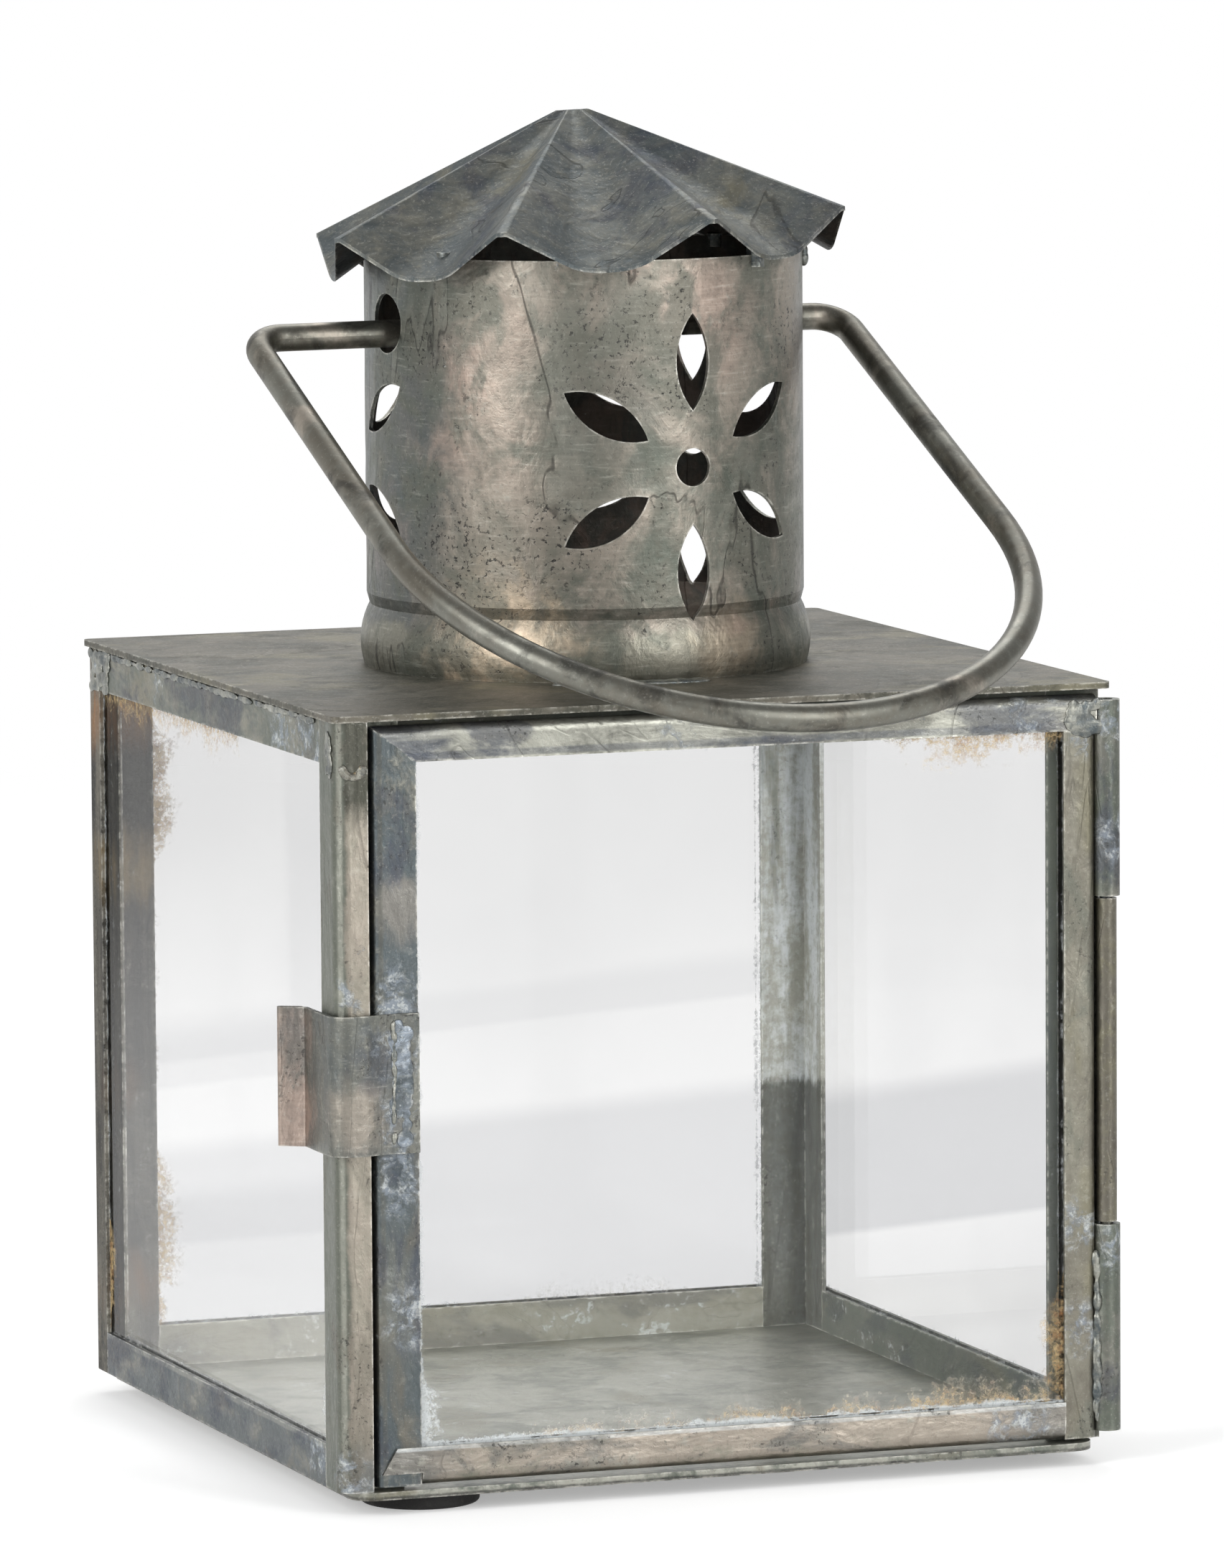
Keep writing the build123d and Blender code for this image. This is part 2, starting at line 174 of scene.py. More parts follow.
tone = {
    "slate": linear(88, 95, 97),
    "ink": linear(68, 74, 88),
    "soot": linear(44, 43, 42),
    "sage": linear(140, 138, 125),
    "ash": linear(164, 164, 154),
    "taupe": linear(164, 155, 143),
    "drab": linear(112, 108, 98),
    "pewter": linear(122, 122, 114),
    "moss": linear(104, 109, 100),
    "bog": linear(74, 75, 67),
    "rose": linear(186, 165, 152),
    # painted highlight colour, used only on the chimney's collar
    "collarHighlight": linear(222, 200, 174),
    "olive": linear(122, 118, 100),
    "umber": linear(66, 54, 48),
    "chalk": linear(214, 219, 220),
    "haze": linear(146, 155, 165),
    "rust": linear(150, 110, 72),
    "ochre": linear(192, 168, 124),
    "bright": linear(232, 230, 220),
}

# zones: axis, from, to, tone, strength; stripes: axis, middle, half width, tone, strength;
# toneSpots: place, reach, tone, strength; crustSpots and speckSpots: place, reach
tinDefaults = {
    "tones": ("slate", "sage"), "balance": 0.5, "soft": 0.13, "cloud": 70.0, "stretch": (1, 1, 1),
    "warm": ("rose", 0.3), "stain": ("ink", 0.4), "pale": ("ash", 0.3),
    "lines": 0.3, "specks": 0.6, "flecks": 0.18, "brush": ((300, 300, 2600), 0.3), "crust": 0.1,
    "crustSpots": (), "toneSpots": (), "speckSpots": (), "zones": (), "stripes": (),
    "inside": None, "sootAndShade": None,
    "edges": 0.75, "rough": 0.40, "metal": 0.85, "shine": 0.5, "bump": 1.0,
}
tinGrain = {"fine": 820.0, "grit": 2600.0, "speck": 1500.0, "crust": 430.0, "brush": 1000.0, "edge": 0.0006}
tinRelief = {"dents": 0.0011, "blotch": 0.00028, "fine": 0.00005, "grit": 0.000012, "speck": 0.00003,
             "crust": 0.00012, "line": 0.00004, "brush": 0.00004}


def tinFinish(name, shift, **look):
    use = {**tinDefaults, **look}
    material, place = startMaterial(name)
    here = place.moved(shift)
    along = place.moved(shift, use["stretch"])
    clouds = along.noise(use["cloud"], 4.0, 0.55, 0.5)
    blotch = along.noise(use["cloud"] * 3.1, 6.0, 0.62, 0.6)
    fine = here.noise(tinGrain["fine"], 4.0, 0.65, 0.3)
    grit = here.noise(tinGrain["grit"], 3.0, 0.6)
    strokes, brushed = use["brush"]
    brush = here.moved((0, 0, 0), tuple(size / tinGrain["brush"] for size in strokes))
    brush = brush.noise(tinGrain["brush"], 3.0, 0.6)

    # the two main tones
    spread = clouds * 0.60 + blotch * 0.40 + (fine - 0.5) * 0.28
    middle = 0.5 + (0.5 - use["balance"]) * 0.3
    colour = spread.step(middle - use["soft"], middle + use["soft"]).mix(*(tone[k] for k in use["tones"]))
    warmTone, warmth = use["warm"]
    warm = along.moved((0.31, 0.17, 0.05)).noise(use["cloud"] * 0.9, 3.0, 0.5, 0.3)
    warm = (warm + (blotch - 0.5) * 0.3).step(0.60 - 0.16 * warmth, 0.74 - 0.16 * warmth)
    colour = (warm * 0.85).mix(colour, tone[warmTone])
    for axis, start, end, paint, amount in use["zones"]:
        ragged = min(0.010, 3.0 * abs(end - start))
        level = place.axes()[axis] + (blotch - 0.5) * ragged + (fine - 0.5) * ragged * 0.2
        colour = (level.step(start, end) * amount).mix(colour, tone[paint])
    for point, radius, paint, amount in use["toneSpots"]:
        patch = (place.near(point) + (blotch - 0.5) * radius * 1.6).step(radius, radius * 0.3)
        colour = (patch * amount).mix(colour, tone[paint])
    for axis, centre, half, paint, amount in use["stripes"]:
        line = abs(place.axes()[axis] - centre + (blotch - 0.5) * half * 0.6).step(half, half * 0.4)
        colour = (line * amount * (0.55 + 0.9 * (fine - 0.5))).mix(colour, tone[paint])
    stainTone, stained = use["stain"]
    stainNoise = along.moved((0.73, 0.11, 0.47)).noise(use["cloud"] * 1.3, 5.0, 0.6, 0.7)
    stain = (stainNoise + (fine - 0.5) * 0.12).step(0.56 - 0.14 * stained, 0.70 - 0.14 * stained)
    colour = (stain * (0.45 + 0.4 * stained)).mix(colour, tone[stainTone])
    paleTone, paleness = use["pale"]
    pale = blotch * 0.5 + fine * 0.5 + (clouds - 0.5) * 0.3
    pale = pale.step(0.60 - 0.06 * paleness, 0.70 - 0.06 * paleness)
    colour = (pale * paleness).mix(colour, tone[paleTone])

    # brush marks, then specks gathered in patches
    stroke = brush.step(0.30, 0.70)
    colour = ((1 - stroke) * (0.55 * brushed)).mix(colour, tone["soot"])
    colour = (brush.step(0.58, 0.74) * (0.5 * brushed)).mix(colour, tone["bright"])
    patch = (stainNoise * 0.6 + blotch * 0.4).step(0.50, 0.62)
    for point, radius in use["speckSpots"]:
        patch = patch.most((place.near(point) + (blotch - 0.5) * radius).step(radius, radius * 0.3))
    speck = here.noise(tinGrain["speck"], 3.0, 0.7).step(0.44, 0.36) * (0.2 + 0.8 * patch)
    colour = (patch * 0.22 * use["specks"]).mix(colour, tone["drab"])
    colour = (speck * 0.62 * use["specks"]).mix(colour, tone["soot"])
    colour = (grit.step(0.56, 0.72) * use["flecks"]).mix(colour, tone["bright"])

    # dried flux leaves a thin dark line, pale along one side
    dried = along.moved((0.07, 0.29, 0.61), (1, 1, 0.45)).noise(use["cloud"] * 0.42, 4.0, 0.56, 1.2)
    broken = blotch.step(0.38, 0.50)
    rim = abs(dried - 0.5).step(0.0060, 0.001) * broken
    halo = (dried - 0.5).step(0.0, 0.018) * (dried - 0.5).step(0.06, 0.018)
    colour = (halo * 0.3 * use["lines"]).mix(colour, tone["ash"])
    colour = (rim * use["lines"]).mix(colour, tone["soot"])

    if use["inside"]:
        within = insideCase(place)
        colour = (within * use["inside"][1]).mix(colour, tone[use["inside"][0]])
        colour = (within * pale * 0.5).mix(colour, tone["chalk"])

    if use["sootAndShade"]:
        # candle soot on the sides that the flame sees; on the cap it darkens every downward face, partly soot
        # and partly painted shade
        sootAndShadeMask = use["sootAndShade"](place)
        sootAndShadeColour = blotch.step(0.42, 0.6).mix(tone["soot"], tone["umber"])
        colour = (sootAndShadeMask * (0.80 + 0.3 * (fine - 0.5))).mix(colour, sootAndShadeColour)

    # bluish white crust, in flecks all over and thick by the solder
    crustNoise = here.noise(tinGrain["crust"], 7.0, 0.70, 0.4)
    crusted = use["crust"]
    crust = crustNoise.step(0.67 - 0.09 * crusted, 0.74 - 0.09 * crusted) * (0.35 + 0.6 * crusted)
    for point, radius in use["crustSpots"]:
        cover = (place.near(point) + (blotch - 0.5) * radius).step(radius, radius * 0.35)
        crust = crust.most(cover * (crustNoise + cover * 0.06).step(0.50, 0.68) * 0.8)
    crustColour = (fine * 0.6 + grit * 0.4).step(0.47, 0.58).mix(tone["haze"], tone["chalk"])
    colour = (crust * 0.88).mix(colour, crustColour)

    # rubbed and cut edges show bare tin
    rubbed = fine * 0.0
    if use["edges"]:
        soft = place.node("ShaderNodeBevel", {"samples": 4}, {"Radius": tinGrain["edge"]})
        flat = place.facing("Normal")
        facing = place.node("ShaderNodeVectorMath", {"operation": "DOT_PRODUCT"}, {0: soft, 1: flat}, "Value")
        rubbed = facing.step(0.90, 0.62) * (crustNoise * 0.5 + fine * 0.5).step(0.44, 0.60)
        colour = (rubbed * use["edges"]).mix(colour, tone["bright"])

    roughness = use["rough"] + (fine - 0.5) * 0.25 + crust * 0.3 + stain * 0.06 - rubbed * 0.1
    roughness = roughness + (brush - 0.5) * 0.2
    metal = use["metal"] - crust * 0.6 - speck * 0.2
    height = clouds * tinRelief["dents"] + blotch * tinRelief["blotch"]
    height = height + fine * tinRelief["fine"] + grit * tinRelief["grit"] - speck * tinRelief["speck"]
    height = height + crust * tinRelief["crust"] - rim * tinRelief["line"]
    height = height + (brush - 0.5) * (tinRelief["brush"] * brushed)
    relief = place.node("ShaderNodeBump", {}, {
        "Strength": 0.6 * use["bump"], "Distance": 1.0, "Height": height})
    endMaterial(place, place.node("ShaderNodeBsdfPrincipled", {}, {
        "Base Color": colour, "Roughness": roughness, "Metallic": metal, "Normal": relief,
        "Specular IOR Level": use["shine"]}))
    return material


# where a sheet's other side begins: distance from the middle, turn to the axis, slope
sideLimits = {"case": (0.0484, 0.0480), "flue": (-0.006, -0.016), "under": (-0.05, -0.25)}


def insideCase(place):
    x, y, _ = place.axes()
    return abs(x).most(abs(y)).step(*sideLimits["case"])


def insideFlue(place):
    # faces that look towards the chimney's axis
    x, y, _ = place.axes()
    facing = place.facing("True Normal").axes()
    return (x * facing[0] + y * facing[1]).step(*sideLimits["flue"])


def underside(place):
    return place.facing("True Normal").axes()[2].step(*sideLimits["under"])


def dress(nodeName, material):
    node = nodes[nodeName]
    node.data.materials.clear()
    node.data.materials.append(material)


clip = [Vector(corner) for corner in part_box("latch_clip")]
clipMid = 0.5 * (clip[0].z + clip[1].z)

upright, acrossX, acrossY = (1, 1, 0.50), (0.50, 1, 1), (1, 0.50, 1)
frameLook = {"tones": ("slate", "pewter"), "balance": 0.42, "soft": 0.08, "cloud": 100.0,
             "stretch": upright, "stain": ("ink", 0.55), "warm": ("drab", 0.15), "pale": ("ash", 0.4),
             "crust": 0.16, "lines": 0.15, "specks": 1.2, "flecks": 0.12, "inside": ("moss", 0.5),
             "brush": ((300, 300, 300), 0.18), "edges": 0.9}
innerLook = {**frameLook, "tones": ("moss", "pewter"), "balance": 0.5, "stretch": (1, 1, 0.15),
             "warm": ("olive", 0.2), "metal": 0.15, "rough": 0.62, "shine": 0.25}

pieceLooks = {
    "base_plate": {**innerLook, "stretch": (1, 1, 1), "tones": ("moss", "ash"), "balance": 0.65,
                   "stain": ("moss", 0.2), "crust": 0.0, "brush": ((180, 2400, 180), 0.2),
                   "inside": ("ash", 0.35), "bump": 0.5, "metal": 0.6, "rough": 0.36, "shine": 0.5,
                   # the soot stripe darkens the lower half of the plate's edge: painted shade standing in for
                   # the shadow and pads beneath
                   "stripes": ((2, 0.0020, 0.0006, "soot", 1.4),)},
    "door_stop": {**innerLook, "stain": ("soot", 0.4), "stretch": acrossX},
    "top_plate": {"tones": ("bog", "drab"), "balance": 0.55, "stain": ("bog", 0.3), "warm": ("olive", 0.25),
                  "pale": ("sage", 0.2), "crust": 0.0, "brush": ((140, 2200, 140), 0.30), "lines": 0.25,
                  "speckSpots": (((0.036, 0.000, 0.0974), 0.010), ((0.033, 0.012, 0.0974), 0.012),
                                 ((-0.031, -0.012, 0.0974), 0.007)),
                  "specks": 1.0, "bump": 0.5, "rough": 0.50, "metal": 0.65, "shine": 0.1},
    "chimney": {"tones": ("moss", "taupe"), "balance": 0.58, "soft": 0.13, "cloud": 64.0,
                "stretch": (1, 1, 0.8), "warm": ("rose", 0.18), "stain": ("moss", 0.75),
                "pale": ("ash", 0.40), "lines": 0.6, "specks": 1.5, "flecks": 0.10,
                "brush": ((260, 260, 2300), 0.30), "crust": 0.02, "rough": 0.42, "metal": 0.88,
                "edges": 1.0, "sootAndShade": insideFlue,
                # the first rose spot, near the top right, is a painted highlight
                "toneSpots": (((0.0060, -0.0270, 0.1420), 0.010, "rose", 0.6),
                              ((-0.0184, -0.0202, 0.1400), 0.009, "rose", 0.35),
                              ((-0.0184, -0.0202, 0.1270), 0.010, "rose", 0.20),
                              ((-0.0184, -0.0202, 0.1130), 0.009, "drab", 0.45),
                              ((-0.0086, -0.0259, 0.1230), 0.010, "moss", 0.55),
                              # the two collarHighlight spots are painted highlights on the collar's convex
                              # swage
                              ((-0.0199, -0.0203, 0.1015), 0.012, "collarHighlight", 0.80),
                              ((0.0100, -0.0265, 0.1015), 0.007, "collarHighlight", 0.40),
                              ((-0.0060, -0.0270, 0.1330), 0.011, "pewter", 0.7),
                              ((0.0170, -0.0215, 0.1160), 0.008, "drab", 0.6),
                              ((0.0225, -0.0160, 0.1180), 0.006, "ash", 0.6)),
                "speckSpots": (((-0.0225, -0.0155, 0.1110), 0.013), ((-0.0080, -0.0265, 0.1370), 0.011),
                               ((-0.0246, -0.0118, 0.1380), 0.006), ((-0.0120, -0.0250, 0.1150), 0.009),
                               ((0.0200, -0.0190, 0.1390), 0.007)),
                # the two slate zones across x are a painted reflection: they darken the chimney's left and
                # right sides, where the metal mirrors dark surroundings
                "zones": ((0, -0.0205, -0.0265, "slate", 0.75), (0, 0.0195, 0.0255, "slate", 0.6),
                          (2, 0.1042, 0.1026, "sage", 0.85))},
    "cap": {"tones": ("slate", "pewter"), "balance": 0.42, "soft": 0.14, "cloud": 80.0,
            "warm": ("olive", 0.10), "stain": ("ink", 0.45), "pale": ("sage", 0.40), "lines": 0.45,
            "specks": 0.8, "brush": ((500, 500, 500), 0.14), "crust": 0.0, "edges": 0.7, "rough": 0.52,
            # the cap's downward faces are darkened: partly candle soot, partly painted shade
            "sootAndShade": underside},
    "post_front_left": {**frameLook, "tones": ("sage", "taupe"), "balance": 0.7, "soft": 0.25,
                        "stain": ("drab", 0.1), "warm": ("taupe", 0.5), "pale": ("ash", 0.1), "crust": 0.05,
                        "zones": ((2, 0.0840, 0.0875, "bog", 0.95), (2, 0.010, 0.005, "slate", 0.7),
                                  # the moss zone darkens the post's left side as painted shade; the ash
                                  # stripe on the rounded corner is a painted highlight
                                  (0, -0.0485, -0.0491, "moss", 0.9)),
                        "stripes": ((0, -0.0494, 0.0004, "ash", 0.8),),
                        "crustSpots": (((-0.0490, -0.05, 0.005), 0.004), ((-0.0490, -0.05, 0.063), 0.003))},
    "post_back_left": {**innerLook, "tones": ("soot", "drab"), "balance": 0.45, "stain": ("soot", 0.3),
                       "inside": ("bog", 0.2),
                       "toneSpots": (((-0.0455, 0.0455, 0.088), 0.007, "rust", 0.9),
                                     ((-0.0455, 0.0455, 0.068), 0.007, "ochre", 0.6),
                                     ((-0.0460, 0.0450, 0.040), 0.005, "rust", 0.3),
                                     ((-0.0455, 0.0455, 0.014), 0.006, "rust", 0.5))},
    "post_back_right": {**innerLook, "tones": ("ash", "chalk"), "balance": 0.5, "inside": None,
                        "stain": ("moss", 0.35),
                        # both zones are painted shade: a painted shadow band below z 0.035 and a painted
                        # shadow at the top above z 0.090
                        "zones": ((2, 0.0365, 0.0350, "bog", 0.85), (2, 0.086, 0.090, "slate", 0.8))},
    "bottom_rail_back": {**innerLook, "tones": ("sage", "ash"), "inside": ("sage", 0.5), "stretch": acrossX},
    "bottom_rail_right": {**innerLook, "tones": ("moss", "pewter"), "stretch": acrossY},
    "door_stile_left": {**frameLook, "balance": 0.22, "warm": ("drab", 0.3),
                        "crustSpots": (((-0.0425, -0.0500, clipMid + 0.009), 0.0065),
                                       ((-0.0425, -0.0500, clipMid - 0.011), 0.0065),
                                       ((-0.0410, -0.0500, 0.024), 0.005)),
                        "toneSpots": (((-0.0425, -0.05, 0.074), 0.005, "taupe", 0.4),
                                      ((-0.0430, -0.05, 0.026), 0.010, "pewter", 0.5)),
                        "stripes": ((0, -0.0444, 0.0004, "pewter", 0.7),)},
    "latch_clip": {**frameLook, "tones": ("slate", "pewter"), "balance": 0.6, "soft": 0.25,
                   "stain": ("slate", 0.3), "crust": 0.0, "brush": ((500, 500, 2600), 0.25),
                   "toneSpots": (((-0.0478, -0.0512, clipMid - 0.004), 0.0060, "taupe", 0.75),
                                 ((-0.0450, -0.0512, clipMid + 0.003), 0.0050, "ink", 0.5),
                                 ((-0.0530, -0.0390, clipMid + 0.004), 0.0070, "rose", 0.55),
                                 ((-0.0530, -0.0390, clipMid - 0.004), 0.0075, "rose", 0.75)),
                   "crustSpots": (((-0.0425, -0.0505, clipMid + 0.004), 0.0050),
                                  ((-0.0425, -0.0505, clipMid - 0.005), 0.0050))},
    "door_stile_right": {**frameLook, "tones": ("drab", "sage"), "balance": 0.55, "warm": ("olive", 0.4),
                         "stain": ("moss", 0.3), "soft": 0.2,
                         "crustSpots": (((0.0465, -0.05, 0.030), 0.005), ((0.0465, -0.05, 0.017), 0.005),
                                        ((0.047, -0.05, 0.090), 0.003))},
    "door_rail_bottom": {**frameLook, "warm": ("taupe", 0.45), "tones": ("sage", "taupe"), "balance": 0.7,
                         "crust": 0.22, "pale": ("ash", 0.6), "stretch": acrossX, "stain": ("slate", 0.35),
                         "zones": ((0, 0.030, 0.042, "slate", 0.5), (0, -0.034, -0.040, "slate", 0.6)),
                         "crustSpots": (((0.038, -0.05, 0.006), 0.007), ((0.012, -0.05, 0.010), 0.003)),
                         "stripes": ((2, 0.0080, 0.0004, "chalk", 0.8),)},
    "door_rail_top": {**frameLook, "stretch": acrossX, "tones": ("pewter", "ash"), "balance": 0.65,
                      "zones": ((0, -0.034, -0.040, "ink", 0.7),),
                      # the ash stripe is a painted highlight along the upper fold; the ink stripe below it is
                      # a dark line
                      "stripes": ((2, 0.0946, 0.0007, "ash", 0.9), (2, 0.0922, 0.0006, "ink", 0.8)),
                      "crustSpots": (((0.040, -0.05, 0.093), 0.006), ((-0.006, -0.05, 0.0935), 0.004))},
    "top_rail_left": {**frameLook, "warm": ("olive", 0.3), "stretch": acrossY, "tones": ("moss", "sage"),
                      "crustSpots": (((-0.05, -0.039, 0.092), 0.010), ((-0.05, -0.030, 0.093), 0.007),
                                     ((-0.05, 0.046, 0.094), 0.006), ((-0.05, 0.02, 0.0955), 0.004))},
    "bottom_rail_left": {**frameLook, "stretch": acrossY, "balance": 0.25, "stain": ("ink", 0.7),
                         "stripes": ((2, 0.0080, 0.0005, "ash", 0.8),),
                         "crustSpots": (((-0.05, -0.041, 0.006), 0.006), ((-0.05, 0.048, 0.008), 0.004))},
    "hinge_sleeve_upper": {**frameLook, "tones": ("moss", "pewter"),
                           "crustSpots": (((0.051, -0.05, 0.092), 0.004), ((0.051, -0.05, 0.078), 0.004))},
    "hinge_sleeve_lower": {**frameLook, "tones": ("moss", "pewter"),
                           "crustSpots": (((0.051, -0.05, 0.027), 0.004),)},
    "hinge_knuckle": {**frameLook, "tones": ("drab", "olive"), "stain": ("umber", 0.3), "crust": 0.0},
}

pieceShift = (0.37, 0.11, 0.23)  # sets the pattern of each piece apart
for number, name in enumerate(sorted(nodes)):
    if name.startswith(("pad_", "pane_", "door_pane", "bail", "cap_solder", "hinge_solder")):
        continue
    look = pieceLooks.get(name, innerLook if name.endswith(("_back", "_right")) else frameLook)
    dress(name, tinFinish("tin_" + name, tuple(step * number for step in pieceShift), **look))

wireLook = {"tones": ("drab", "pewter"), "balance": 0.5, "cloud": 90.0, "warm": ("taupe", 0.2),
            "stain": ("soot", 0.35), "pale": ("ash", 0.25), "lines": 0.0, "specks": 0.05, "flecks": 0.10,
            "brush": ((600, 600, 600), 0.08), "crust": 0.0, "rough": 0.42, "metal": 0.90, "bump": 0.12,
            "edges": 0.0}
solderLook = {"tones": ("slate", "ash"), "warm": ("ash", 0.1), "stain": ("slate", 0.35),
              "pale": ("chalk", 0.35), "crust": 0.6, "cloud": 200.0, "lines": 0.0, "rough": 0.42,
              "bump": 0.8}
dress("bail", tinFinish("bailWire", (7.1, 0.3, 0.2), **wireLook))
dress("cap_solder", tinFinish("capSolder", (8.2, 0.1, 0.4), **solderLook))
dress("hinge_solder", tinFinish("hingeSolder", (8.9, 0.6, 0.1), **solderLook))
print("tin dressed")

# rubber pads

padSettings = {"black": linear(26, 25, 24), "dusty": linear(96, 90, 82), "grain": 2400.0, "dust": 500.0,
               "rough": 0.62, "relief": 0.0002}


def rubberFinish(settings):
    material, place = startMaterial("padRubber")
    grain = place.noise(settings["grain"], 3.0, 0.6)
    dust = place.noise(settings["dust"], 5.0, 0.65).step(0.52, 0.75)
    colour = (dust * 0.25).mix(settings["black"], settings["dusty"])
    relief = place.node("ShaderNodeBump", {}, {
        "Strength": 0.4, "Distance": settings["relief"], "Height": grain})
    endMaterial(place, place.node("ShaderNodeBsdfPrincipled", {}, {
        "Base Color": colour, "Roughness": settings["rough"] + grain * 0.15, "Normal": relief}))
    return material


rubber = rubberFinish(padSettings)
for name in ("pad_front_left", "pad_front_right", "pad_back_left", "pad_back_right"):
    dress(name, rubber)

# window glass: a faint grey veil with slanting stripes of painted shade, and crust that creeps in from the
# frame around it

glassSettings = {"wander": 210.0, "grit": 1500.0, "rust": 700.0, "haze": 26.0, "filmAndShade": (0.74, 0.745, 0.76),
                 "index": 1.2, "shade": (0.95, 0.955, 0.955, 1.0), "drift": 0.008, "fade": 0.003,
                 "bandEdges": (0.0012, 0.004)}


def glassFinish(name, shift, flat, hems, stains, shadeBands, clarity):
    material, place = startMaterial(name)
    here = place.moved(shift)
    axes = place.axes()
    wander = here.noise(glassSettings["wander"], 6.0, 0.62, 0.4)
    grit = here.noise(glassSettings["grit"], 7.0, 0.75)
    fade = glassSettings["fade"]
    white = grit * 0.0
    rusty = grit * 0.0
    for axis, edge, reach, pale, brown in hems:
        depth = abs(axes[axis] - edge)
        hem = depth.step(reach * (0.25 + 1.75 * wander.step(0.36, 0.66)), 0.0)
        white = white.most(hem * pale)
        rusty = rusty.most(hem * brown)
    for axis, edge, reach, start, end, pale, brown in stains:
        # creeps in from one edge over part of its length
        depth = abs(axes[axis] - edge)
        run = axes[2 if axis != 2 else 1 - flat] + (wander - 0.5) * glassSettings["drift"]
        window = run.step(start - fade, start + fade) * run.step(end + fade, end - fade)
        creep = depth.step(reach * (0.1 + 1.9 * wander.step(0.34, 0.68)) * window, 0.0)
        white = white.most(creep * pale)
        rusty = rusty.most(creep * brown)
    thick = white.most(rusty)
    cover = thick.step(0.02, 0.75) * (grit + thick * 0.30).step(0.56, 0.80)
    stain = here.noise(glassSettings["rust"], 4.0, 0.65).step(0.46, 0.68).mix(tone["ochre"], tone["rust"])
    crustColour = (rusty - white * 0.7 + (grit - 0.5) * 0.5).step(0.0, 0.35).mix(tone["chalk"], stain)
    crust = place.node("ShaderNodeBsdfPrincipled", {}, {"Base Color": crustColour, "Roughness": 0.85})

    # a faint noisy haze, then painted shade: faint slanting grey stripes standing in for shadows and
    # reflections seen in the glass
    filmAndShade = here.noise(glassSettings["haze"], 3.0, 0.5, 0.2).step(0.45, 0.70) * 0.14
    crisp, faded = glassSettings["bandEdges"]
    for axis, start, end, slope, amount in shadeBands:
        level = axes[axis] + axes[2 if axis != 2 else 1 - flat] * slope
        filmAndShade = filmAndShade.most(level.step(start, start + crisp) * level.step(end, end - faded) * amount)
    glaze = filmAndShade.mix((clarity,) * 3, tuple(share * clarity for share in glassSettings["filmAndShade"]))
    clear = place.node("ShaderNodeBsdfPrincipled", {}, {
        "Base Color": glaze, "Roughness": 0.0, "IOR": glassSettings["index"], "Transmission Weight": 1.0})
    through = place.node("ShaderNodeBsdfTransparent", {}, {"Color": glassSettings["shade"]})
    shadow = place.path("Shadow")[0]
    pane = place.node("ShaderNodeMixShader", {}, {0: shadow, 1: clear, 2: through})
    endMaterial(place, place.node("ShaderNodeMixShader", {}, {0: cover * 0.75, 1: pane, 2: crust}))
    return material


# hems: axis, edge, reach, white, rust; stains: axis, edge, reach, from, to, white, rust;
# painted shade, in slanting stripes across the glass: axis, from, to, slope, strength
paneLooks = {
    "pane_left": {"flat": 0, "clarity": 0.92,
                  "hems": ((1, 0.0445, 0.0008, 0.6, 0.3), (1, -0.0440, 0.0008, 0.5, 0.2),
                           (2, 0.0083, 0.0008, 0.5, 0.4)),
                  "stains": ((2, 0.0913, 0.0045, -0.010, 0.044, 0.2, 0.6),
                             (1, 0.0445, 0.0040, 0.010, 0.022, 0.3, 0.8),
                             (1, -0.0440, 0.0040, 0.008, 0.018, 0.7, 0.5)),
                  "shadeBands": ((2, 0.046, 0.055, 0.17, 0.30), (2, 0.026, 0.035, 0.17, 0.40))},
    "pane_right": {"flat": 0, "clarity": 0.90,
                   "hems": ((2, 0.0913, 0.0008, 0.3, 0.2), (2, 0.0083, 0.0008, 0.5, 0.1)), "stains": (),
                   "shadeBands": ((2, 0.0228, 0.0440, 0.19, 0.85),)},
    "pane_back": {"flat": 1, "clarity": 0.90,
                  "hems": ((0, -0.0410, 0.0008, 0.4, 0.5), (0, 0.0410, 0.0005, 0.6, 0.0),
                           (2, 0.0083, 0.0006, 0.5, 0.3), (2, 0.0913, 0.0006, 0.4, 0.4)),
                  "stains": ((0, -0.0410, 0.0045, 0.010, 0.030, 0.5, 0.7),
                             (0, -0.0410, 0.0040, 0.070, 0.091, 0.3, 0.8),
                             (2, 0.0083, 0.0030, 0.005, 0.030, 0.4, 0.4)),
                  "shadeBands": ((2, 0.044, 0.052, -0.06, 0.35), (2, 0.004, 0.035, -0.05, 0.65),
                            (0, -0.022, -0.010, 0.02, 0.25))},
    "door_pane": {"flat": 1, "clarity": 0.90,
                  "hems": ((2, 0.0082, 0.0009, 1.0, 0.2), (0, -0.0398, 0.0006, 0.9, 0.0),
                           (0, 0.0442, 0.0004, 0.5, 0.0), (2, 0.0915, 0.0004, 0.3, 0.0)),
                  "stains": ((2, 0.0082, 0.0048, 0.024, 0.044, 0.5, 0.62),
                             (2, 0.0082, 0.0036, -0.002, 0.024, 0.5, 0.6),
                             (0, 0.0442, 0.0038, 0.008, 0.022, 0.3, 0.62),
                             (2, 0.0082, 0.0032, -0.026, -0.004, 0.6, 0.6),
                             (0, -0.0398, 0.0035, 0.008, 0.016, 0.9, 0.3),
                             (2, 0.0915, 0.0050, 0.024, 0.044, 0.2, 0.6)), "shadeBands": ()},
}
for number, (name, look) in enumerate(paneLooks.items()):
    dress(name, glassFinish("glass_" + name, (number * 1.7, number * 0.9, 0.3), **look))
print("glass dressed")

# solder: blobs melted together, where the photograph shows them, strewn in a box from low to high,
# along a ring (radius, from, to, level) or along an arc (middle, radius, from, to), in degrees

